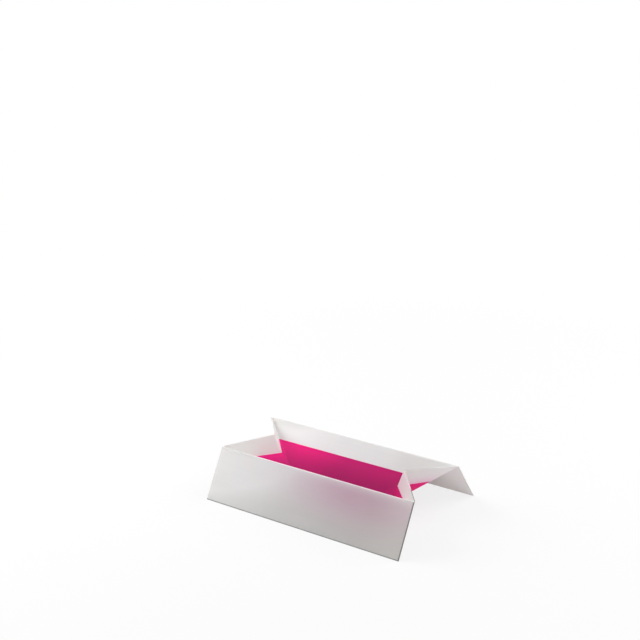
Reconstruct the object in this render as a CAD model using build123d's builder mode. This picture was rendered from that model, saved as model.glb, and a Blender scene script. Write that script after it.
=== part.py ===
"""Disposable reagent reservoir folded from one thin sheet of milky plastic, with its reagent.

The sheet is bent lengthwise into an M. Its two outer panels, the wings, slope outwards and
stand on their lower edges. The V between the two ridges is the trough. At each end the trough
is closed by a pleat: the sheet is folded back into the trough along two creases that rise from
the valley to the ends of the ridges, so the floor of the V turns up into a steep spine between
two pockets. The reagent fills the trough part of the way up.

Millimetres. X runs along the trough, Y across it and Z up. The origin is on the bench, below
the middle of the trough. Sizes are given to the sharp fold lines on the upper face of the
sheet, and the thickness lies below that face. The part is the same in all four quarters, so
the back right-hand one is drawn and mirrored.
"""

from build123d import *
from math import atan2, cos, pi, sin, tan
import os

# Driving dimensions
length = 110.0
foot_spacing = 68.6
ridge_spacing = 39.6
ridge_height = 22.5
trough_depth = 17.1
pleat_inset = 25.6
spine_length = 21.0
sheet_thickness = 0.5
bend_radius = 0.8
liquid_depth = 10.2

# Fold lines: the creases and the spine start where the valley ends
half_length = length / 2
valley_height = ridge_height - trough_depth
pleat_start = Vector(half_length - pleat_inset, 0, valley_height)
ridge_end = Vector(half_length, ridge_spacing / 2, ridge_height)
crease = ridge_end - pleat_start
spine_rise = 2 * atan2(trough_depth, pleat_inset)
spine = Vector(cos(spine_rise), 0, sin(spine_rise))
pleat_tip = pleat_start + spine * spine_length

# Cross-section of the back ridge, as points (Y, Z)
ridge = Vector(ridge_end.Y, ridge_height)
foot = Vector(foot_spacing / 2, 0)
down_wing = (foot - ridge).normalized()
down_wall = (Vector(0, valley_height) - ridge).normalized()
bend_turn = pi - down_wing.get_angle(down_wall) * pi / 180
bend_setback = bend_radius * tan(bend_turn / 2)
wing_tangent = ridge + down_wing * bend_setback
wall_tangent = ridge + down_wall * bend_setback
sheet_below_bench = foot + down_wing * 2 * sheet_thickness

# Faces and edges of the back right-hand pleat
crease_end = pleat_start + crease * (1 - bend_setback / (ridge - Vector(0, valley_height)).length)
pleat_outwards = crease.cross(spine)
pleat_face = Plane(origin=pleat_start, z_dir=pleat_outwards)
pleat_edge = Plane(origin=crease_end, z_dir=(pleat_tip - crease_end).cross(pleat_outwards))
wall_edge = Plane(origin=crease_end, z_dir=Vector(0, ridge_end.Y, trough_depth))


def quarter_space(outwards):
    """A quarter of the space in the trough, its wall and pleat faces moved outwards."""
    wall_tilt = atan2(trough_depth, ridge_end.Y)
    bottom = valley_height - outwards / cos(wall_tilt)
    top = pleat_tip.Z + bend_radius
    with BuildPart() as space:
        with BuildSketch(Plane.YZ):
            with BuildLine():
                Polyline((0, bottom), ((top - bottom) / tan(wall_tilt), top), (0, top), close=True)
            make_face()
        extrude(amount=half_length)
        split(bisect_by=pleat_face.offset(outwards), keep=Keep.BOTTOM)
    return space.part


with BuildPart() as pleated_quarter:
    add(quarter_space(sheet_thickness))
    add(quarter_space(0), mode=Mode.SUBTRACT)
    split(bisect_by=wall_edge, keep=Keep.BOTTOM)
    split(bisect_by=pleat_edge, keep=Keep.BOTTOM)

with BuildPart() as reservoir:
    with BuildSketch(Plane.YZ):
        with BuildLine():
            wing_line = Line(sheet_below_bench, wing_tangent)
            TangentArc(wing_tangent, wall_tangent, tangent=wing_line % 1)
            offset(amount=sheet_thickness, side=Side.LEFT)
        make_face()
    extrude(amount=half_length)
    split(bisect_by=Plane.XY, keep=Keep.TOP)
    add(pleated_quarter.part)
    mirror(about=Plane.YZ)
    mirror(about=Plane.XZ)

with BuildPart() as reagent:
    add(quarter_space(0))
    split(bisect_by=Plane.XY.offset(valley_height + liquid_depth), keep=Keep.BOTTOM)
    mirror(about=Plane.YZ)
    mirror(about=Plane.XZ)

reservoir.part.label = "reservoir"
reagent.part.label = "reagent"
os.makedirs("parts", exist_ok=True)
export_step(reservoir.part, "parts/reservoir.step")
export_step(reagent.part, "parts/reagent.step")
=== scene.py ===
"""Looks of a disposable reagent reservoir, folded from one thin sheet of milky plastic.

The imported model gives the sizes. The folded sheet is drawn again as one smooth surface with
rounded folds and trimmed edges, and the reagent as a pool with a small dip away from its walls.
Both stand for the plain nodes of the model. A stage with soft light and a camera goes round them.
"""

from math import atan2, cos, hypot, radians, sin, tan
from types import SimpleNamespace

import bpy
import numpy as np
from bpy.props import FloatProperty, FloatVectorProperty, PointerProperty
from mathutils import Matrix, Vector


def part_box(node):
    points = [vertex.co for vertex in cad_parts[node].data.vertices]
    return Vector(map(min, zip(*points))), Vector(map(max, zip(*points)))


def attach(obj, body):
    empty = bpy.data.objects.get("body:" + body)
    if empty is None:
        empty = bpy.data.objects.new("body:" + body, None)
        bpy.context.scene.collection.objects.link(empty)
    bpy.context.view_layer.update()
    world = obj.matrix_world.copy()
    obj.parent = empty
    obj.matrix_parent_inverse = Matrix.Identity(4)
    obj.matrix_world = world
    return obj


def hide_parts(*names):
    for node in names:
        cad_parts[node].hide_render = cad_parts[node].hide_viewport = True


bl_info = {
    "name": "Folded Reagent Reservoir",
    "version": (1, 0, 0),
    "blender": (4, 5, 0),
    "location": "3D View > Sidebar > Reservoir",
    "description": "Makes a folded plastic reagent reservoir, its reagent and a studio stage",
    "category": "Add Mesh",
}

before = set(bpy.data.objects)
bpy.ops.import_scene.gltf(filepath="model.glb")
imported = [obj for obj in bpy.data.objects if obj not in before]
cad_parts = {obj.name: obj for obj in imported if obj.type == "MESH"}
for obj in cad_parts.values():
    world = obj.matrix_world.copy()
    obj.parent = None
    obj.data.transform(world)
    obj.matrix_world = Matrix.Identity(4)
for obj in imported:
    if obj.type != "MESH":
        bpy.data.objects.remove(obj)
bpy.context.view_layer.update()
sheet_low, sheet_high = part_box("reservoir")
pool_low, pool_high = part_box("reagent")

MILLIMETRE = 0.001


# ---------------------------------------------------------------------------------------------
# Settings
# ---------------------------------------------------------------------------------------------


def size_setting(name, description, default):
    """A length that a user may change, in metres."""
    return FloatProperty(
        name=name,
        description=description,
        default=default,
        min=0,
        precision=5,
        unit="LENGTH",
    )


def colour_setting(name, description, default):
    """A linear colour that a user may change."""
    return FloatVectorProperty(
        name=name,
        description=description,
        default=default,
        size=3,
        min=0,
        max=1,
        subtype="COLOR",
    )


def power_setting(name, description, default):
    """The power of a lamp, in watts."""
    return FloatProperty(name=name, description=description, default=default, min=0, unit="POWER")


def angle_setting(name, description, default):
    """An angle that a user may change, with its default in degrees."""
    return FloatProperty(
        name=name, description=description, default=radians(default), subtype="ANGLE"
    )


class SheetSettings(bpy.types.PropertyGroup):
    """Sizes and colours of the folded sheet."""

    length: size_setting(
        "Length", "Length of the sheet along the trough", sheet_high.x - sheet_low.x
    )
    foot_spacing: size_setting(
        "Foot Spacing", "Distance between the lower edges of the wings", sheet_high.y - sheet_low.y
    )
    ridge_spacing: size_setting("Ridge Spacing", "Distance between the two ridges", 0.0396)
    ridge_height: size_setting("Ridge Height", "Height of the ridges above the bench", 0.0225)
    valley_height: size_setting("Valley Height", "Height of the valley above the bench", pool_low.z)
    pleat_inset: size_setting(
        "Pleat Inset", "Distance from the sheet's end to the start of a pleat", 0.0256
    )
    tip_height: size_setting(
        "Tip Height", "Height of the tips of the pleats above the bench", sheet_high.z
    )
    thickness: size_setting("Thickness", "Thickness of the sheet", 0.0005)
    ridge_radius: size_setting("Ridge Radius", "Radius of the bend over each ridge", 0.0006)
    valley_radius: size_setting("Valley Radius", "Radius of the bend along the valley", 0.0008)
    crease_softness: size_setting(
        "Crease Softness", "Distance on either side of a pleat's crease that is rounded", 0.0005
    )
    edge_softness: size_setting("Edge Softness", "Width that is worn off each cut edge", 0.00006)
    # The rim is also where painted shadow lies along the feet and the wings' ends
    rim: size_setting("Rim", "Width of the dense rim along each cut edge of the wings", 0.0006)
    bow: size_setting("Bow", "How far the wings bow inwards between their edges", 0.00015)
    colour: colour_setting("Colour", "Colour of the milky sheet", (0.86, 0.857, 0.845))
    fold_colour: colour_setting(
        "Fold Colour", "Paler colour of the strained folds", (0.9, 0.9, 0.89)
    )
    # Dark cut edges; the same colour paints shadow on the rims along the feet and the wings' ends
    edge_and_shadow_colour: colour_setting("Edge Colour", "Denser colour of the cut edges", (0.2, 0.2, 0.195))
    wet_colour: colour_setting(
        "Wet Colour", "Colour where the reagent lies behind the sheet", (1.0, 0.02, 0.29)
    )
    # Painted shade: darker where the filled trough keeps light from the sheet, towards the front
    # wing's right end, and along the ridges
    painted_shade_colour: colour_setting(
        "Shade Colour",
        "Factor where the filled trough keeps light from the sheet",
        (0.73, 0.73, 0.72),
    )
    # Painted glow: the reagent's pink light as it would shine through the translucent sheet
    painted_glow_colour: colour_setting(
        "Glow Colour",
        "Factor where the reagent's colour shines through the sheet",
        (1.0, 0.73, 0.88),
    )


class ReagentSettings(bpy.types.PropertyGroup):
    """Sizes and colours of the reagent."""

    level: size_setting("Level", "Height of the reagent's edge above the bench", pool_high.z)
    dip: size_setting("Dip", "How far the reagent lies below its edge", 0.0003)
    dip_reach: size_setting(
        "Dip Reach", "Distance over which the reagent climbs to its edge", 0.0009
    )
    sunk: size_setting(
        "Sunk", "How far the hidden faces of the pool are sunk into the sheet", 0.00008
    )
    colour: colour_setting("Colour", "Colour of a thin layer of the dyed water", (1.0, 0.005, 0.21))
    # Painted shade of the reagent towards its right end
    far_colour: colour_setting(
        "Far Colour",
        "The same towards the right end, where less light reaches",
        (0.575, 0.005, 0.14),
    )
    dye_colour: colour_setting("Dye Colour", "Colour that a deep layer tends to", (0.3, 0.2, 0.45))
    dye_density: FloatProperty(
        name="Dye Density",
        description="How fast a deeper layer darkens, per metre",
        default=30,
        min=0,
    )


class StageSettings(bpy.types.PropertyGroup):
    """Floor, lights and camera."""

    floor_size: size_setting("Floor Size", "Width of the floor", 6.0)
    floor_colour: colour_setting("Floor Colour", "Colour of the floor", (0.9, 0.9, 0.9))
    sky_strength: FloatProperty(
        name="Sky Strength", description="Light that comes from all sides", default=0.3, min=0
    )
    side_power: power_setting("Side Lamp Power", "Power of the lamp on the left", 1.35)
    rear_power: power_setting("Rear Lamp Power", "Power of the lamp behind the right end", 0.9)
    fill_power: power_setting(
        "Fill Lamp Power", "Power of the low lamp in front of the right end", 0.25
    )
    lamp_size: size_setting("Lamp Size", "Width of each soft lamp", 0.3)
    lamp_distance: size_setting("Lamp Distance", "Distance of the lamps from the origin", 0.42)
    lamp_rise: angle_setting("Lamp Rise", "How high the side and rear lamps stand", 40)
    fill_rise: angle_setting("Fill Rise", "How high the fill lamp stands", 12)
    lens: FloatProperty(
        name="Lens", description="Focal length in millimetres", default=66.02, min=1
    )
    view_turn: angle_setting(
        "View Turn", "Turn of the camera round the reservoir, from the front", 36.6
    )
    view_rise: angle_setting("View Rise", "How far the camera looks down", 20.18)
    view_roll: angle_setting("View Roll", "Tilt of the camera about its own line of sight", -3.09)
    view_distance: size_setting("View Distance", "Distance of the camera from the origin", 0.5683)
    view_right: FloatProperty(
        name="View Right",
        description="How far right of the middle of the view the origin lies",
        default=0.00929,
        unit="LENGTH",
    )
    view_down: FloatProperty(
        name="View Down",
        description="How far below the middle of the view the origin lies",
        default=0.08583,
        unit="LENGTH",
    )


# ---------------------------------------------------------------------------------------------
# Shape of the folded sheet
# ---------------------------------------------------------------------------------------------

# Grid lines across half of the sheet, on each stretch from the valley to the foot
VALLEY_ROWS = 6
WALL_ROWS = 30
RIDGE_ROWS = 22
WING_ROWS = 32
# Grid lines along half of it, before and past the crease, and how much they crowd towards it
INNER_COLUMNS = 56
INNER_CROWDING = 3.4
OUTER_COLUMNS = 20
OUTER_CROWDING = 2.6


def fold_lengths(sheet):
    """Slopes and lengths that follow from the driving sizes of the folded sheet."""
    f = SimpleNamespace()
    f.half_length = sheet.length / 2
    f.half_ridge = sheet.ridge_spacing / 2
    f.depth = sheet.ridge_height - sheet.valley_height
    f.wing_width = sheet.foot_spacing / 2 - f.half_ridge
    f.valley_height = sheet.valley_height
    f.valley_radius = sheet.valley_radius
    f.ridge_radius = sheet.ridge_radius
    f.thickness = sheet.thickness
    f.softness = sheet.crease_softness
    f.bow = sheet.bow
    f.rim = sheet.rim
    # Slopes of the trough's wall and of the wing
    f.wall_slope = atan2(f.depth, f.half_ridge)
    f.wing_slope = atan2(sheet.ridge_height, f.wing_width)
    # Lengths across the flat sheet, from the valley outwards
    ridge_turn = f.wall_slope + f.wing_slope
    ridge_setback = f.ridge_radius * tan(ridge_turn / 2)
    valley_setback = f.valley_radius * tan(f.wall_slope)
    f.wall_start = f.valley_radius * f.wall_slope
    f.wall_end = f.wall_start + hypot(f.depth, f.half_ridge) - valley_setback - ridge_setback
    f.ridge_top = f.wall_end + f.ridge_radius * f.wall_slope
    f.wing_start = f.wall_end + f.ridge_radius * ridge_turn
    f.foot = f.wing_start + hypot(sheet.ridge_height, f.wing_width) - ridge_setback
    f.foot_under = f.foot - f.thickness / tan(f.wing_slope)
    # The pleat: where it starts, how it rises, and the trimmed length of its spine
    f.pleat_start = f.half_length - sheet.pleat_inset
    f.crease_rise = atan2(f.depth, sheet.pleat_inset)
    f.spine_rise = 2 * f.crease_rise
    f.spine_length = (sheet.tip_height - f.valley_height) / sin(f.spine_rise)
    return f


def cross_section(across, f):
    """Side distance and height of the sheet's upper face at a distance across the flat sheet.

    From the valley outwards the distance is spent on the arc of the valley, the straight wall,
    the arc over the ridge and the straight wing. A straight run adds its length times the cosine
    and sine of its slope. An arc adds its radius times the change of the sine and of the cosine
    of its direction.
    """
    run = np.abs(across)
    valley = np.clip(run, 0, f.wall_start) / f.valley_radius
    wall = np.clip(run, f.wall_start, f.wall_end) - f.wall_start
    ridge = (np.clip(run, f.wall_end, f.wing_start) - f.wall_end) / f.ridge_radius
    wing = np.maximum(run, f.wing_start) - f.wing_start
    heading = f.wall_slope - ridge
    side = (
        f.valley_radius * np.sin(valley)
        + wall * cos(f.wall_slope)
        + f.ridge_radius * (sin(f.wall_slope) - np.sin(heading))
        + wing * cos(f.wing_slope)
    )
    height = (
        f.valley_height
        + f.valley_radius * (1 / cos(f.wall_slope) - np.cos(valley))
        + wall * sin(f.wall_slope)
        + f.ridge_radius * (np.cos(heading) - cos(f.wall_slope))
        - wing * sin(f.wing_slope)
    )
    return side * np.sign(across), height


def smooth_step(value, start, end):
    """Rises from 0 at start to 1 at end: 3 t squared minus 2 t cubed, with t the share passed."""
    share = np.clip((value - start) / (end - start), 0, 1)
    return share * share * (3 - 2 * share)


def bell(value, middle, reach):
    """Falls from 1 at the middle to 0 far from it, as the exponential of minus t squared.

    t is the distance from the middle over the reach.
    """
    return np.exp(-(((value - middle) / reach) ** 2))


def beyond_fold(along, height, f):
    """Distance beyond the slanting plane that holds a pleat's two creases, before it is folded."""
    inwards = np.abs(along) - f.pleat_start
    return inwards * sin(f.crease_rise) - (height - f.valley_height) * cos(f.crease_rise)


def upper_face(along, across, f):
    """Points of the sheet's upper face from its two flat distances, with the pleats folded in.

    A pleat is the end of the trough, mirrored in the slanting plane that holds its two creases.
    With s the distance beyond that plane, the point moves back by twice s. Within the softness
    of the plane on either side the move is instead the square of s plus the softness, over
    twice the softness, which rounds the crease. The move fades out over the ridge, because the
    wings aren't folded.
    """
    side, height = cross_section(across, f)
    beyond = beyond_fold(along, height, f)
    in_trough = 1 - smooth_step(np.abs(across), f.wall_end - f.ridge_radius, f.ridge_top)
    near = np.clip(beyond, -f.softness, f.softness)
    rounded = (near + f.softness) ** 2 / (2 * f.softness)
    move = in_trough * (rounded + 2 * np.maximum(beyond - near, 0))
    reach = np.abs(along) - move * sin(f.crease_rise)
    height = height + move * cos(f.crease_rise)
    return np.stack([reach * np.sign(along), side, height], axis=-1)


def upper_normal(along, across, f):
    """Unit normal of the upper face: the cross product of its two slopes, by small differences."""
    step = 0.002 * MILLIMETRE
    slope_along = upper_face(along + step, across, f) - upper_face(along - step, across, f)
    slope_across = upper_face(along, across + step, f) - upper_face(along, across - step, f)
    normal = np.cross(slope_along, slope_across)
    return normal / np.linalg.norm(normal, axis=-1, keepdims=True)


def wave(along, side, share, length, shift, lean):
    """A sine wave along a wing, moved by the shift either way on the two wings, and leaning."""
    return np.sin(along / length + shift * side + lean * share)


def wing_bow(along, across, f):
    """Gentle unevenness of a wing, none of it at the ridge or at the foot.

    Half of it is even. A slow wave adds or takes up to 0.32 of it, and a fast one up to 0.18.
    """
    share = np.clip((np.abs(across) - f.wing_start) / (f.foot - f.wing_start), 0, 1)
    side = np.sign(across)
    slow = wave(along, side, share, length=0.0085, shift=1.1, lean=1.5)
    fast = wave(along, side, share, length=0.0047, shift=-2.3, lean=2.6)
    return f.bow * np.sin(np.pi * share) * (0.5 + 0.32 * slow + 0.18 * fast)


def crowded(count, crowding):
    """Shares from 0 to 1 whose steps are small near 0: sinh(k u) / sinh(k), with u even steps."""
    even = np.linspace(0, 1, count)
    return np.sinh(crowding * even) / np.sinh(crowding)


def crowded_both_ends(count, crowding):
    """Shares from 0 to 1 whose steps are small at both ends.

    They are half of 1 + tanh(k u) / tanh(k), with u in even steps from -1 to 1.
    """
    even = np.linspace(-1, 1, count)
    return (1 + np.tanh(crowding * even) / np.tanh(crowding)) / 2


def rows_across(f, trim):
    """Distances across the flat sheet from foot to foot, close together on its bends."""
    bend_start = f.wall_end - f.ridge_radius
    half = np.concatenate(
        [
            np.linspace(0, f.wall_start, VALLEY_ROWS),
            np.linspace(f.wall_start, bend_start, WALL_ROWS)[1:],
            np.linspace(bend_start, f.wing_start, RIDGE_ROWS)[1:],
            np.linspace(f.wing_start, f.foot - f.rim, WING_ROWS)[1:],
            [f.foot - f.rim / 2, f.foot - trim],
        ]
    )
    return np.concatenate([-half[:0:-1], half])


def columns_along(across, f, trim):
    """Distances along the flat sheet, one row of them for each distance across it.

    They run from the middle to the crease and on to the cut end, close together at the crease.
    The crease leaves the valley at the pleat's start, follows the wall and meets the sheet's end
    at the ridge. Over the wing its column slants back a little. The cut end runs from the tip of
    the spine to the same corner. The last columns lie 3, 1 and 0 trims from the cut end, and the
    crease keeps 4 trims from the corner, which leaves room for them.
    """
    run = np.abs(across)
    corner = f.half_length - 4 * trim
    wing_slant = f.wing_width / 5
    rise = cross_section(np.array([0, f.wall_end]), f)[1] - f.valley_height
    valley_crease, wall_crease = f.pleat_start + rise / tan(f.crease_rise)
    crease = np.interp(
        run,
        [0, f.wall_end, f.ridge_top, f.foot],
        [valley_crease, wall_crease, corner, corner - wing_slant],
    )
    cut = np.interp(run, [0, f.ridge_top], [f.pleat_start + f.spine_length, f.half_length])
    to_cut = (cut - 3 * trim - crease)[:, None]
    inner = crease[:, None] * (1 - crowded(INNER_COLUMNS, INNER_CROWDING)[::-1])
    outer = crease[:, None] + to_cut * crowded(OUTER_COLUMNS, OUTER_CROWDING)[1:]
    edge = cut[:, None] + trim * np.array([-1.0, 0.0])
    half = np.concatenate([inner, outer, edge], axis=1)
    return np.concatenate([-half[:, :0:-1], half], axis=1)


def ring_round_sheet(f, trim):
    """Distances across and depths below the upper face, once round the sheet's cross-section.

    The ring follows the upper face from foot to foot, turns round the flat underside of one
    foot, comes back along the lower face and turns round the other foot.
    """
    upper = rows_across(f, trim)
    stretch = (f.foot_under - f.wing_start) / (f.foot - f.wing_start)
    beyond_wing = np.maximum(np.abs(upper) - f.wing_start, 0)
    lower = upper - np.sign(upper) * beyond_wing * (1 - stretch)
    rim_depth = np.array([trim, f.thickness - trim])
    rim = f.foot - rim_depth / tan(f.wing_slope)
    across = np.concatenate([upper, rim, lower[::-1], -rim[::-1]])
    depth = np.concatenate(
        [np.zeros_like(upper), rim_depth, np.full_like(lower, f.thickness), rim_depth[::-1]]
    )
    return across, depth, len(upper)


def ring_faces(columns, ring, rows):
    """Corners of the four-sided faces: rings joined in turn, and both ends closed.

    A face joins point j of a ring to point j + 1 and to the same two points of the next ring.
    An end's face joins rows k and k + 1 of the upper face to the same rows of the lower face,
    and its last two faces close the two feet.
    """
    column = np.arange(columns - 1)[:, None] * ring
    point = np.arange(ring)[None, :]
    ahead = (point + 1) % ring
    around = np.stack(
        [column + point, column + ring + point, column + ring + ahead, column + ahead], axis=-1
    )
    row = np.arange(rows - 1)
    under = ring - 3 - row
    closing = np.stack([under, under - 1, row + 1, row], axis=-1)
    feet = np.array([[rows + 2, rows + 1, rows, rows - 1], [0, ring - 1, ring - 2, ring - 3]])
    closing = np.concatenate([closing, feet])
    last = (columns - 1) * ring
    return np.concatenate([around.reshape(-1, 4), closing + last, closing[:, ::-1]])


def folded_sheet(sheet, reagent):
    """Points, faces and finish of the folded sheet.

    A point is the upper face's point less its depth and the bow of the wing, along the normal.
    The outermost ring at each end is thinner, which wears off the cut edges.
    """
    f = fold_lengths(sheet)
    trim = sheet.edge_softness
    ring_across, ring_depth, rows = ring_round_sheet(f, trim)
    along = columns_along(ring_across, f, trim)
    across = np.broadcast_to(ring_across[:, None], along.shape)
    depth = np.repeat(ring_depth[:, None], along.shape[1], axis=1)
    worn = trim + depth[:, [0, -1]] * (1 - 2 * trim / f.thickness)
    depth[:, [0, -1]] = worn
    face = upper_face(along, across, f)
    inwards = (depth + wing_bow(along, across, f))[..., None] * upper_normal(along, across, f)
    points = face - inwards
    points[..., 2] = np.maximum(points[..., 2], 0)
    finish = sheet_finish(along, across, depth, face, f, reagent.level)
    faces = ring_faces(along.shape[1], along.shape[0], rows)
    in_rings = points.transpose(1, 0, 2).reshape(-1, 3)
    return in_rings, faces, {name: values.T.ravel() for name, values in finish.items()}


# ---------------------------------------------------------------------------------------------
# Finish of the folded sheet, with its painted shade, glow and shadow
# ---------------------------------------------------------------------------------------------

# In metres: a distance far from every fold, the depth of a dry point, how far the strain of a
# fold reaches, the painted glow above the reagent, the painted line along a ridge, and what a
# broad line adds
FAR = 1.0
DRY = -0.01
STRAIN_REACH = 0.0004
GLOW_REACH = 0.0025
RIDGE_REACH = 0.0007
BROAD_REACH = 0.004
# Strengths of the painted shade and the painted glow, as shares of the whole tint
RIDGE_EASE = 0.45
CORNER_LIGHT = 0.4
REAR_WING_GLOW = 0.4
RIDGE_SHADE = 0.2
DRY_LEFT_SHADE = 0.75
DRY_RIGHT_SHADE = 0.8
FAR_LEFT_SHADE = 0.4
RIDGE_GLOW = 0.5
PLEAT_SHADE = 0.65
CORNER_SHADE = 0.25
PLEAT_GLOW = 0.35
WALL_SHADE = 0.38
# Densities of the dark cut edges and of the rims of painted shadow, where the front foot has 1
CORNER_EDGE = 0.75
SPINE_EDGE = 0.38
LEAST_EDGE = 0.12
REAR_FOOT_RIM = 0.8
END_RIM = 0.2
# How steeply a rim rises, which makes it whole over its outer third
RIM_STEEPNESS = 1.5


def sheet_places(along, across, depth, f):
    """Where each point lies on the sheet, as the numbers that its finish is made of.

    run is the distance from the valley. place goes from -1 at the left end to 1 at the right
    end, up_wall from 0 in the valley to 1 at the ridge, and down_wing from 0 at the ridge to 1
    at the foot. off_crease is the distance beyond the fold of a pleat, and far on the wings.
    front, on_wing and on_wall are 1 on these parts and 0 off them, with a smooth step between.
    """
    p = SimpleNamespace()
    p.run = np.abs(across)
    p.place = along / f.half_length
    p.up_wall = p.run / f.ridge_top
    p.down_wing = np.clip((p.run - f.ridge_top) / (f.foot - f.ridge_top), 0, 1)
    p.in_front = across < 0
    p.behind = across > 0
    p.at_right = along > 0
    p.in_trough = p.run < f.ridge_top
    p.lower = depth > f.thickness / 2
    p.front = smooth_step(-across, 0, f.ridge_radius)
    p.on_wing = smooth_step(p.run, f.wall_end, f.wing_start)
    p.on_wall = 1 - smooth_step(p.run, f.wall_end - f.ridge_radius, f.ridge_top)
    height = cross_section(across, f)[1]
    p.off_crease = np.where(p.in_trough, beyond_fold(along, height, f), FAR)
    return p


def wing_painted_light(p):
    """Painted shade and painted glow on the wings. Both are less just below the ridge.

    The shade is on the front wing, and is one less the square of the share still to go towards
    its right end. At the ridge that share starts at the place -0.25 and ends at 0.65. At the
    foot it starts at -1.3 and ends at 0.9, and both go there with the square of the way down.
    The shade fades a little at the upper right corner. The glow is a round hill beside the
    trough, drawn out sideways, and weaker on the rear wing.
    """
    low = p.down_wing**2
    start = -0.25 - 1.05 * low
    end = 0.65 + 0.25 * low
    to_go = 1 - np.clip((p.place - start) / (end - start), 0, 1)
    eased = (1 - RIDGE_EASE * bell(p.down_wing, middle=0, reach=0.08)) * p.on_wing
    upper_right = smooth_step(p.place, start=0.6, end=1) * (1 - p.down_wing) ** 2
    shade = eased * p.front * (1 - to_go**2) * (1 - CORNER_LIGHT * upper_right)
    hill_place = np.where(p.in_front, 0.42, 0.0)
    hill = bell(p.place, hill_place, reach=0.6) * bell(p.down_wing, middle=0.15, reach=0.5)
    glow = eased * hill * (REAR_WING_GLOW + (1 - REAR_WING_GLOW) * p.front)
    return shade, glow


def ridge_painted_light(p, f):
    """Painted shade and painted glow along the ridges, falling off to either side as a bell.

    Some shade is all along both. The front ridge has more past both ends of the reagent, and
    glows beside it. The rear ridge has more at its far left, where it is broad on the side of
    the trough.
    """
    rear = 1 - p.front
    far_left = smooth_step(-p.place, start=0.45, end=0.8)
    dry_left = smooth_step(-p.place, start=0.56, end=0.68)
    dry_right = smooth_step(p.place, start=0.84, end=0.92)
    reach = RIDGE_REACH + BROAD_REACH * far_left * rear * p.in_trough
    line = bell(p.run, f.ridge_top, reach)
    front_shade = DRY_LEFT_SHADE * dry_left + DRY_RIGHT_SHADE * dry_right
    shade = (RIDGE_SHADE + front_shade * p.front + FAR_LEFT_SHADE * far_left * rear) * line
    glow = RIDGE_GLOW * (1 - dry_left - dry_right) * p.front * line
    return shade, glow


def trough_painted_light(p, f):
    """Painted shade and painted glow on the front half of the right pleat, and painted shade on the
    rear wall.

    On the pleat the shade grows towards the ridge, and the glow falls to 0 there. The wall has
    it on its upper face only. There it grows towards the right end and stops at the crease.
    """
    to_corner = smooth_step(p.up_wall, start=0.6, end=0.9)
    beyond_crease = smooth_step(p.off_crease, 0, f.softness)
    pleat = p.front * beyond_crease * p.at_right * p.in_trough
    pleat_shade = pleat * (PLEAT_SHADE + CORNER_SHADE * to_corner)
    glow = PLEAT_GLOW * pleat * (1 - to_corner)
    before_crease = smooth_step(-p.off_crease, 0, f.softness)
    rear_wall = p.on_wall * p.behind * ~p.lower * before_crease
    wall_shade = WALL_SHADE * rear_wall * smooth_step(p.place, start=0.3, end=0.6)
    return np.maximum(pleat_shade, wall_shade), glow


def rim_shadow(from_edge, f):
    """Painted shadow at a distance from an edge: it rises evenly over the rim, and is held at 1."""
    return np.clip(RIM_STEEPNESS * (1 - from_edge / f.rim), 0, 1)


def edge_and_shadow_density(along, depth, p, f):
    """How dark the cut edges of the pleats and the rims of the wings are, from 0 to 1.

    It is partly the cut edges' own darker colour and partly painted shadow. It is highest along
    the feet and at the front wing's right end. On the right pleat's edge the front half has more
    towards the corner, and the rear half near the tip of the spine.
    """
    front_edge = CORNER_EDGE * smooth_step(p.up_wall, start=0.55, end=0.68)
    rear_edge = SPINE_EDGE * (1 - smooth_step(p.up_wall, start=0.45, end=0.7))
    right_edge = np.where(p.in_front, front_edge, rear_edge) * p.at_right
    on_edge = (depth > 0) & (depth < f.thickness)
    pleat_edge = on_edge * np.maximum(right_edge, LEAST_EDGE)
    foot_rim = rim_shadow(f.foot - p.run, f) * np.where(p.in_front, 1.0, REAR_FOOT_RIM)
    front_right = np.where(p.in_front & p.at_right, 1.0, END_RIM)
    end_rim = rim_shadow(f.half_length - np.abs(along), f) * front_right
    return np.where(p.in_trough, pleat_edge, np.maximum(foot_rim, end_rim))


def sheet_finish(along, across, depth, face, f, level):
    """Where the sheet's colour changes, as one number for each point.

    wet: millimetres below the reagent's edge on the trough's lower face, far below 0 elsewhere.
    strain: 1 on the folds, falling off as a bell.
    cut: how dark the cut edges are, with painted shadow on the rims of the wings.
    shade and glow: painted shade and painted glow, each the strongest of those on the wings, on the
    ridges and in the trough. Under the trough the painted glow falls off exponentially above the
    reagent's edge.
    """
    p = sheet_places(along, across, depth, f)
    off_spine = np.where(p.off_crease > 0, p.run, FAR)
    off_fold = np.minimum(np.abs(p.off_crease), off_spine)
    under_trough = p.in_trough & p.lower
    above_edge = np.maximum(face[..., 2] - level, 0)
    # Painted glow of the reagent's colour on the trough's underside, above the wet line
    wet_glow = under_trough * np.exp(-above_edge / GLOW_REACH)
    wing_shade, wing_glow = wing_painted_light(p)
    ridge_shade, ridge_glow = ridge_painted_light(p, f)
    trough_shade, trough_glow = trough_painted_light(p, f)
    return {
        "wet": np.where(under_trough, level - face[..., 2], DRY) / MILLIMETRE,
        "strain": bell(off_fold, middle=0, reach=STRAIN_REACH),
        "cut": edge_and_shadow_density(along, depth, p, f),
        "shade": np.max([wing_shade, ridge_shade, trough_shade], axis=0),
        "glow": np.max([wing_glow, ridge_glow, trough_glow, wet_glow], axis=0),
    }


# ---------------------------------------------------------------------------------------------
# Shape of the reagent
# ---------------------------------------------------------------------------------------------

# Grid lines up each wall, along half of the pool up to the crease, and over the pleat
POOL_WALL_ROWS = 24
POOL_WALL_CROWDING = 3.2
POOL_INNER_COLUMNS = 30
POOL_PLEAT_COLUMNS = 20
POOL_PLEAT_CROWDING = 2.6
# Least height that the mirrored wall climbs, and least depth of the pool inside its border
LEAST_CLIMB = 0.05 * MILLIMETRE
LEAST_DEPTH = 0.005 * MILLIMETRE


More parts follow.
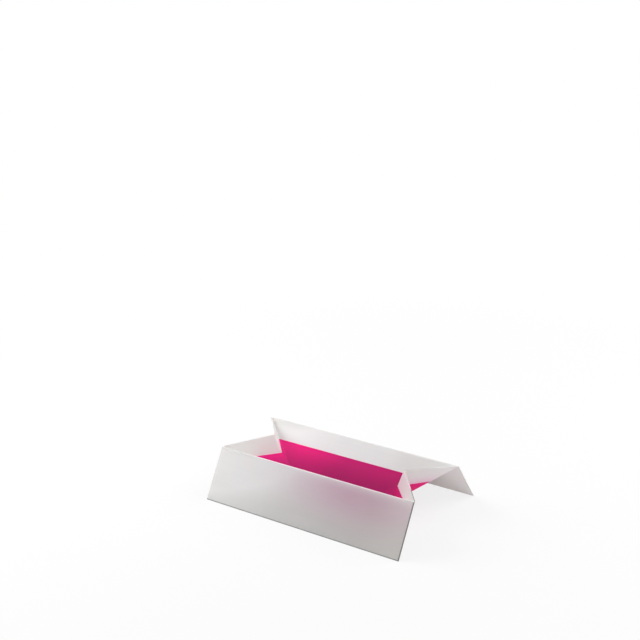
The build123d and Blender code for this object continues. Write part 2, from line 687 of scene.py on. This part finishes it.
def reagent_pool(sheet, reagent):
    """Points, faces and finish of the pool between the trough's walls and the pleats.

    The bottom is the sheet's upper face, moved a little into the sheet along its normal. Across,
    it ends where the wall reaches the reagent's edge. Along, it passes the crease and ends where
    the mirrored wall has climbed to that edge. The top has the same plan. It lies at the edge
    less the dip, which grows with one less the exponential of the distance from each wall. Inside
    the border the bottom stays below the top, in the sharp corners too.
    """
    f = fold_lengths(sheet)
    fill = reagent.level - f.valley_height
    round_rise = f.valley_radius * (1 / cos(f.wall_slope) - cos(f.wall_slope))
    edge = f.wall_start + (fill - round_rise) / sin(f.wall_slope)
    wall_shares = 1 - crowded(POOL_WALL_ROWS, POOL_WALL_CROWDING)[::-1]
    up_wall = f.wall_start + (edge - f.wall_start) * wall_shares
    half_across = np.concatenate([np.linspace(0, f.wall_start, VALLEY_ROWS)[:-1], up_wall])
    across = np.concatenate([-half_across[:0:-1], half_across])

    rise = cross_section(across, f)[1] - f.valley_height
    crease = (f.pleat_start + rise / tan(f.crease_rise))[:, None]
    climb = np.maximum(fill - rise, LEAST_CLIMB)[:, None]
    pleat = climb / (2 * cos(f.crease_rise) * sin(f.crease_rise))
    inner = crease * (1 - crowded(POOL_INNER_COLUMNS, INNER_CROWDING)[::-1])
    outer = crease + pleat * crowded_both_ends(POOL_PLEAT_COLUMNS, POOL_PLEAT_CROWDING)[1:]
    half = np.concatenate([inner, outer], axis=1)
    along = np.concatenate([-half[:, :0:-1], half], axis=1)

    across = np.broadcast_to(across[:, None], along.shape)
    lower = upper_face(along, across, f) - reagent.sunk * upper_normal(along, across, f)
    reach, side = np.abs(lower[..., 0]), np.abs(lower[..., 1])
    half_length, half_width = reach[:, -1:], side.max()
    slant = (half_length.max() - half_length.min()) / half_width
    to_wall = half_width - side
    to_pleat = (half_length - reach) / hypot(1, slant)
    off_wall = 1 - np.exp(-to_wall / reagent.dip_reach)
    off_pleat = 1 - np.exp(-to_pleat / reagent.dip_reach)
    top = reagent.level - reagent.dip * (off_wall * off_pleat)
    upper = np.concatenate([lower[..., :2], top[..., None]], axis=-1)
    lower[..., 2] = np.minimum(lower[..., 2], top - LEAST_DEPTH)
    return *closed_grid(upper, lower), {}


def closed_grid(upper, lower):
    """Points and faces of two grids that share their border, the upper one facing up."""
    rows, columns = upper.shape[:2]
    points = np.concatenate([upper.reshape(-1, 3), lower[1:-1, 1:-1].reshape(-1, 3)])
    above = np.arange(rows * columns).reshape(rows, columns)
    inside = np.arange((rows - 2) * (columns - 2)).reshape(rows - 2, columns - 2)
    below = above.copy()
    below[1:-1, 1:-1] = rows * columns + inside
    faces = [grid_faces(above), grid_faces(below)[:, ::-1]]
    return points, np.concatenate(faces)


def grid_faces(index):
    """Four-sided faces of a grid of point numbers."""
    corners = [index[:-1, :-1], index[:-1, 1:], index[1:, 1:], index[1:, :-1]]
    return np.stack(corners, axis=-1).reshape(-1, 4)


def mesh_piece(name, points, faces, finish):
    """A smooth mesh object from whole arrays of points, faces and named numbers for each point."""
    mesh = bpy.data.meshes.new(name)
    mesh.vertices.add(len(points))
    mesh.vertices.foreach_set("co", points.ravel())
    mesh.loops.add(faces.size)
    mesh.loops.foreach_set("vertex_index", faces.ravel())
    mesh.polygons.add(len(faces))
    mesh.polygons.foreach_set("loop_start", np.arange(0, faces.size, faces.shape[1]))
    mesh.polygons.foreach_set("use_smooth", np.ones(len(faces), dtype=bool))
    for label, values in finish.items():
        mesh.attributes.new(label, "FLOAT", "POINT").data.foreach_set("value", values)
    mesh.update(calc_edges=True)
    if mesh.validate():
        raise RuntimeError(f"the mesh of {name} has faults")
    piece = bpy.data.objects.new(name, mesh)
    bpy.context.scene.collection.objects.link(piece)
    return piece


# ---------------------------------------------------------------------------------------------
# Materials
# ---------------------------------------------------------------------------------------------


# Sockets of the mix node that hold its two colours and the mixed one
FIRST_COLOUR = 6
SECOND_COLOUR = 7
MIXED_COLOUR = 2
# Noise in the sheet, as its scale per metre and its detail, and where most of its values lie
CLOUDS = (55, 2)
STREAKS = (420, 3)
GRAIN = (2600, 2)
NOISE_RANGE = (0.3, 0.7)
# How the streaks from rolling are drawn out along the trough
STREAK_STRETCH = (0.06, 1.0, 1.0)
# Colours of the clouds and of the streaks, as factors of the sheet's own
CLOUD_FACTOR = 0.975
STREAK_FACTOR = 1.04
# Noise at which a streak starts and is whole, and how much of their colours they and folds get
STREAK_RANGE = (0.35, 0.7)
STREAK_SHARE = 0.3
FOLD_SHARE = 0.4
# Half the width of the line where the wet colour ends, in millimetres
WET_LINE = 0.15
# Roughness between and on the streaks, and the streaks' share in the bump beside the grain
ROUGHNESS = (0.38, 0.5)
STREAK_BUMP = 0.6
# How much light spreads inside the sheet, away from the cut edges and on them
SPREAD_INSIDE = (1, 0.1)
# Swirls in the reagent, as their scale per metre, their detail and how far they reach
SWIRLS = (38, 2)
SWIRL_REACH = 0.012
# Where painted shade darkens the reagent along it, and where painted light brightens it again
# along and across it
DARKENING = (-0.028, 0.004)
RELIT_ALONG = (0.03, 0.0345)
RELIT_ACROSS = (0.002, -0.0047)
RELIT_SHARE = 0.6
# Distances from the origin between which the floor turns white, and its first share of white
FLOOR_FADE = (0.06, 0.3)
FLOOR_WHITE = 0.8


class Nodes:
    """Short ways to add and join the nodes of one tree."""

    def __init__(self, tree):
        self.tree = tree
        tree.nodes.clear()

    def add(self, kind, **settings):
        """Adds a node and sets its own settings."""
        node = self.tree.nodes.new(kind)
        for name, value in settings.items():
            setattr(node, name, value)
        return node

    def join(self, output, target):
        """Joins an output socket to an input socket."""
        self.tree.links.new(output, target)

    def feed(self, target, value):
        """Joins a socket to an input, or sets a number, a vector or a colour on it."""
        if isinstance(value, bpy.types.NodeSocket):
            self.join(value, target)
        elif target.type == "RGBA":
            target.default_value = (*value, 1)
        else:
            target.default_value = value

    def fill(self, node, values):
        """Feeds the inputs of a node by their names, and gives the node back."""
        for name, value in values.items():
            self.feed(node.inputs[name], value)
        return node

    def number(self, name):
        """The number that the mesh holds under this name."""
        return self.add("ShaderNodeAttribute", attribute_name=name).outputs["Fac"]

    def blend(self, share, first, second, kind="MIX"):
        """Mixes two colours, or multiplies them, as far as the share says."""
        node = self.add("ShaderNodeMix", data_type="RGBA", blend_type=kind)
        self.feed(node.inputs["Factor"], share)
        self.feed(node.inputs[FIRST_COLOUR], first)
        self.feed(node.inputs[SECOND_COLOUR], second)
        return node.outputs[MIXED_COLOUR]

    def blend_shaders(self, share, first, second):
        """Mixes two shaders as far as the share says."""
        node = self.add("ShaderNodeMixShader")
        for target, value in zip(node.inputs, (share, first, second)):
            self.join(value, target)
        return node.outputs["Shader"]

    def remap(self, value, old, new):
        """Maps a range of numbers to another, and holds its ends."""
        node = self.add("ShaderNodeMapRange")
        self.join(value, node.inputs["Value"])
        node.inputs["From Min"].default_value, node.inputs["From Max"].default_value = old
        node.inputs["To Min"].default_value, node.inputs["To Max"].default_value = new
        return node.outputs["Result"]

    def sum(self, kind, first, second):
        """Joins two numbers by one kind of sum. Each is a socket or a number."""
        node = self.add("ShaderNodeMath", operation=kind)
        self.feed(node.inputs[0], first)
        self.feed(node.inputs[1], second)
        return node.outputs["Value"]

    def noise(self, place, scale, detail):
        """Smooth noise at a place."""
        node = self.add("ShaderNodeTexNoise")
        self.fill(node, {"Scale": scale, "Detail": detail, "Vector": place})
        return node.outputs["Fac"]


def new_material(name):
    """A material with an empty node tree and its helper."""
    material = bpy.data.materials.new(name)
    material.use_nodes = True
    return material, Nodes(material.node_tree)


def milky_plastic(sheet):
    """Milky sheet with faint clouds, streaks from rolling, pale folds and dark cut edges.

    The dark edges also paint shadow along the feet and the wings' ends. Painted shade and painted
    glow of the reagent are multiplied in, and the reagent colours it where it lies behind it.
    """
    material, nodes = new_material("milky_plastic")
    place = nodes.add("ShaderNodeTexCoord").outputs["Object"]
    stretch = nodes.add("ShaderNodeMapping")
    nodes.fill(stretch, {"Scale": STREAK_STRETCH, "Vector": place})
    clouds = nodes.noise(place, *CLOUDS)
    streaks = nodes.noise(stretch.outputs["Vector"], *STREAKS)
    grain = nodes.noise(place, *GRAIN)

    colour = tuple(sheet.colour)
    cloud_colour = tuple(channel * CLOUD_FACTOR for channel in colour)
    streak_colour = tuple(min(1, channel * STREAK_FACTOR) for channel in colour)
    off_cloud = nodes.remap(clouds, NOISE_RANGE, (0, 1))
    cloudy = nodes.blend(off_cloud, cloud_colour, colour)
    on_streak = nodes.remap(streaks, STREAK_RANGE, (0, STREAK_SHARE))
    streaky = nodes.blend(on_streak, cloudy, streak_colour)
    on_fold = nodes.remap(nodes.number("strain"), (0, 1), (0, FOLD_SHARE))
    strained = nodes.blend(on_fold, streaky, sheet.fold_colour)
    # Painted shade and painted glow, multiplied into the colour
    shaded = nodes.blend(nodes.number("shade"), strained, sheet.painted_shade_colour, "MULTIPLY")
    glowing = nodes.blend(nodes.number("glow"), shaded, sheet.painted_glow_colour, "MULTIPLY")
    behind_wet = nodes.remap(nodes.number("wet"), (-WET_LINE, WET_LINE), (0, 1))
    wet = nodes.blend(behind_wet, glowing, sheet.wet_colour)
    # Dark cut edges, which also paint shadow on the rims of the wings
    edge_and_shadow_share = nodes.number("cut")
    edge_shadowed = nodes.blend(edge_and_shadow_share, wet, sheet.edge_and_shadow_colour)

    bump = nodes.add("ShaderNodeBump")
    height = nodes.sum("ADD", grain, nodes.sum("MULTIPLY", streaks, STREAK_BUMP))
    nodes.fill(bump, {"Strength": 0.12, "Distance": 0.0001, "Height": height})
    shader = nodes.add("ShaderNodeBsdfPrincipled")
    values = {
        "Base Color": edge_shadowed,
        "Roughness": nodes.remap(streaks, NOISE_RANGE, ROUGHNESS),
        "IOR": 1.49,
        "Specular IOR Level": 0.35,
        "Subsurface Weight": nodes.remap(edge_and_shadow_share, (0, 1), SPREAD_INSIDE),
        "Subsurface Radius": (1.0, 0.9, 0.85),
        "Subsurface Scale": 0.001,
        "Normal": bump.outputs["Normal"],
    }
    nodes.fill(shader, values)
    nodes.fill(nodes.add("ShaderNodeOutputMaterial"), {"Surface": shader.outputs["BSDF"]})
    return material


def dyed_water(reagent):
    """Clear dyed water: the surface takes most of the green, and the depth dims what is left.

    Painted shade darkens it towards the right, and painted light brightens it again in front of
    the right pleat.
    """
    material, nodes = new_material("dyed_water")
    place = nodes.add("ShaderNodeTexCoord").outputs["Object"]
    axes = nodes.add("ShaderNodeSeparateXYZ")
    nodes.join(place, axes.inputs["Vector"])
    swirls = nodes.sum("MULTIPLY", nodes.noise(place, *SWIRLS), SWIRL_REACH)
    along = nodes.sum("ADD", axes.outputs["X"], swirls)
    # Painted shade towards the right end, taken back by painted light in front of the right pleat
    far = nodes.remap(along, DARKENING, (0, 1))
    by_pleat = nodes.remap(axes.outputs["X"], RELIT_ALONG, (0, 1))
    in_front = nodes.remap(axes.outputs["Y"], RELIT_ACROSS, (0, RELIT_SHARE))
    relit = nodes.sum("MULTIPLY", by_pleat, in_front)
    dark = nodes.sum("MULTIPLY", far, nodes.sum("SUBTRACT", 1, relit))
    colour = nodes.blend(dark, reagent.colour, reagent.far_colour)
    shader = nodes.add("ShaderNodeBsdfPrincipled")
    values = {"Base Color": colour, "Roughness": 0.02, "IOR": 1.1, "Transmission Weight": 1.0}
    nodes.fill(shader, values)
    dye = nodes.add("ShaderNodeVolumeAbsorption")
    nodes.fill(dye, {"Color": reagent.dye_colour, "Density": reagent.dye_density})
    output = nodes.add("ShaderNodeOutputMaterial")
    nodes.fill(output, {"Surface": shader.outputs["BSDF"], "Volume": dye.outputs["Volume"]})
    return material


def seen_directly(nodes):
    """1 for rays from the camera and for mirrored and refracted ones, 0 for light on the object."""
    rays = nodes.add("ShaderNodeLightPath")
    mirrored = nodes.sum("MAXIMUM", rays.outputs["Is Camera Ray"], rays.outputs["Is Glossy Ray"])
    return nodes.sum("MAXIMUM", mirrored, rays.outputs["Is Transmission Ray"])


def white_floor(stage):
    """Pale floor that keeps the shadow close to the object and looks white further away.

    It is clear from below, so the underside of the object can be looked at.
    """
    material, nodes = new_material("white_floor")
    place = nodes.add("ShaderNodeTexCoord").outputs["Object"]
    away = nodes.add("ShaderNodeVectorMath", operation="LENGTH")
    nodes.join(place, away.inputs[0])
    white = nodes.remap(away.outputs["Value"], FLOOR_FADE, (FLOOR_WHITE, 1.0))
    seen_white = nodes.sum("MULTIPLY", seen_directly(nodes), white)
    paper = nodes.add("ShaderNodeBsdfDiffuse")
    nodes.fill(paper, {"Color": stage.floor_colour})
    shine = nodes.add("ShaderNodeEmission").outputs["Emission"]
    from_above = nodes.blend_shaders(seen_white, paper.outputs["BSDF"], shine)
    from_below = nodes.add("ShaderNodeNewGeometry").outputs["Backfacing"]
    clear = nodes.add("ShaderNodeBsdfTransparent").outputs["BSDF"]
    surface = nodes.blend_shaders(from_below, from_above, clear)
    nodes.fill(nodes.add("ShaderNodeOutputMaterial"), {"Surface": surface})
    return material


def white_sky(stage):
    """Even light from all sides, which looks white itself."""
    world = bpy.data.worlds.new("white_sky")
    world.use_nodes = True
    nodes = Nodes(world.node_tree)
    strength = nodes.remap(seen_directly(nodes), (0, 1), (stage.sky_strength, 1.0))
    sky = nodes.add("ShaderNodeBackground")
    nodes.fill(sky, {"Color": (1, 1, 1), "Strength": strength})
    nodes.fill(nodes.add("ShaderNodeOutputWorld"), {"Surface": sky.outputs["Background"]})
    return world


# ---------------------------------------------------------------------------------------------
# Stage
# ---------------------------------------------------------------------------------------------

# Angles of the lamps round the origin, from the right end and seen from above
SIDE_TURN = radians(188)
REAR_TURN = radians(45)
FILL_TURN = radians(-45)
# Nearest distance that the camera sees
NEAR_LIMIT = 0.01


def add_floor(stage):
    """A wide floor at the height of the bench."""
    half = stage.floor_size / 2
    corners = np.array([[-half, -half, 0], [half, -half, 0], [half, half, 0], [-half, half, 0]])
    floor = mesh_piece("floor", corners, np.array([[0, 1, 2, 3]]), {})
    floor.data.materials.append(white_floor(stage))


def add_lamp(stage, name, turn, rise, power):
    """A large soft lamp aimed at the origin, at an angle round it from the right end."""
    light = bpy.data.lights.new(name, "AREA")
    light.energy = power
    light.size = stage.lamp_size
    lamp = bpy.data.objects.new(name, light)
    outwards = Vector((cos(turn) * cos(rise), sin(turn) * cos(rise), sin(rise)))
    lamp.location = outwards * stage.lamp_distance
    lamp.rotation_euler = (-outwards).to_track_quat("-Z", "Y").to_euler()
    bpy.context.scene.collection.objects.link(lamp)


def add_camera(stage):
    """The camera, from its turn, rise, roll and distance, and where the origin lies in its view."""
    turn, rise, roll = stage.view_turn, stage.view_rise, stage.view_roll
    forward = Vector((-sin(turn) * cos(rise), cos(turn) * cos(rise), -sin(rise)))
    level_right = Vector((cos(turn), sin(turn), 0))
    level_up = level_right.cross(forward)
    right = level_right * cos(roll) + level_up * sin(roll)
    up = level_up * cos(roll) - level_right * sin(roll)
    lens = bpy.data.cameras.new("camera")
    lens.lens = stage.lens
    lens.clip_start = NEAR_LIMIT
    camera = bpy.data.objects.new("camera", lens)
    aside = up * stage.view_down - right * stage.view_right
    camera.location = aside - forward * stage.view_distance
    camera.rotation_mode = "QUATERNION"
    camera.rotation_quaternion = matrix_of(right, up, -forward).to_quaternion()
    bpy.context.scene.collection.objects.link(camera)
    bpy.context.scene.camera = camera


def matrix_of(first, second, third):
    """The rotation whose columns are these three unit vectors."""
    return Matrix((first, second, third)).transposed()


# ---------------------------------------------------------------------------------------------
# Add-on
# ---------------------------------------------------------------------------------------------


class MESH_OT_reservoir_sheet(bpy.types.Operator):
    """Make the folded sheet of milky plastic"""

    bl_idname = "mesh.reservoir_sheet"
    bl_label = "Folded Sheet"

    def execute(self, context):
        sheet = context.scene.reservoir_sheet
        piece = mesh_piece("folded_sheet", *folded_sheet(sheet, context.scene.reservoir_reagent))
        piece.data.materials.append(milky_plastic(sheet))
        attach(piece, "root")
        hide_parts("reservoir")
        return {"FINISHED"}


class MESH_OT_reservoir_reagent(bpy.types.Operator):
    """Make the pool of reagent in the trough"""

    bl_idname = "mesh.reservoir_reagent"
    bl_label = "Reagent Pool"

    def execute(self, context):
        reagent = context.scene.reservoir_reagent
        piece = mesh_piece("reagent_pool", *reagent_pool(context.scene.reservoir_sheet, reagent))
        piece.data.materials.append(dyed_water(reagent))
        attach(piece, "root")
        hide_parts("reagent")
        return {"FINISHED"}


class SCENE_OT_reservoir_stage(bpy.types.Operator):
    """Make the floor, the lights and the camera"""

    bl_idname = "scene.reservoir_stage"
    bl_label = "Studio Stage"

    def execute(self, context):
        stage = context.scene.reservoir_stage
        add_floor(stage)
        add_lamp(stage, "side_lamp", SIDE_TURN, stage.lamp_rise, stage.side_power)
        add_lamp(stage, "rear_lamp", REAR_TURN, stage.lamp_rise, stage.rear_power)
        add_lamp(stage, "fill_lamp", FILL_TURN, stage.fill_rise, stage.fill_power)
        add_camera(stage)
        context.scene.world = white_sky(stage)
        context.scene.view_settings.view_transform = "Standard"
        return {"FINISHED"}


class VIEW3D_PT_reservoir(bpy.types.Panel):
    """Sidebar panel with the settings and the operators"""

    bl_label = "Folded Reagent Reservoir"
    bl_space_type = "VIEW_3D"
    bl_region_type = "UI"
    bl_category = "Reservoir"

    def draw(self, context):
        for settings, operator in (
            (context.scene.reservoir_sheet, MESH_OT_reservoir_sheet),
            (context.scene.reservoir_reagent, MESH_OT_reservoir_reagent),
            (context.scene.reservoir_stage, SCENE_OT_reservoir_stage),
        ):
            box = self.layout.box()
            for name in type(settings).__annotations__:
                box.prop(settings, name)
            box.operator(operator.bl_idname)


CLASSES = (
    SheetSettings,
    ReagentSettings,
    StageSettings,
    MESH_OT_reservoir_sheet,
    MESH_OT_reservoir_reagent,
    SCENE_OT_reservoir_stage,
    VIEW3D_PT_reservoir,
)


def register():
    """Adds the classes, and keeps the settings on the scene."""
    for cls in CLASSES:
        bpy.utils.register_class(cls)
    bpy.types.Scene.reservoir_sheet = PointerProperty(type=SheetSettings)
    bpy.types.Scene.reservoir_reagent = PointerProperty(type=ReagentSettings)
    bpy.types.Scene.reservoir_stage = PointerProperty(type=StageSettings)


def unregister():
    """Takes the settings and the classes away again."""
    del bpy.types.Scene.reservoir_stage
    del bpy.types.Scene.reservoir_reagent
    del bpy.types.Scene.reservoir_sheet
    for cls in reversed(CLASSES):
        bpy.utils.unregister_class(cls)


def main():
    """Makes every piece and the stage."""
    register()
    bpy.ops.mesh.reservoir_sheet()
    bpy.ops.mesh.reservoir_reagent()
    bpy.ops.scene.reservoir_stage()


if __name__ == "__main__":
    main()
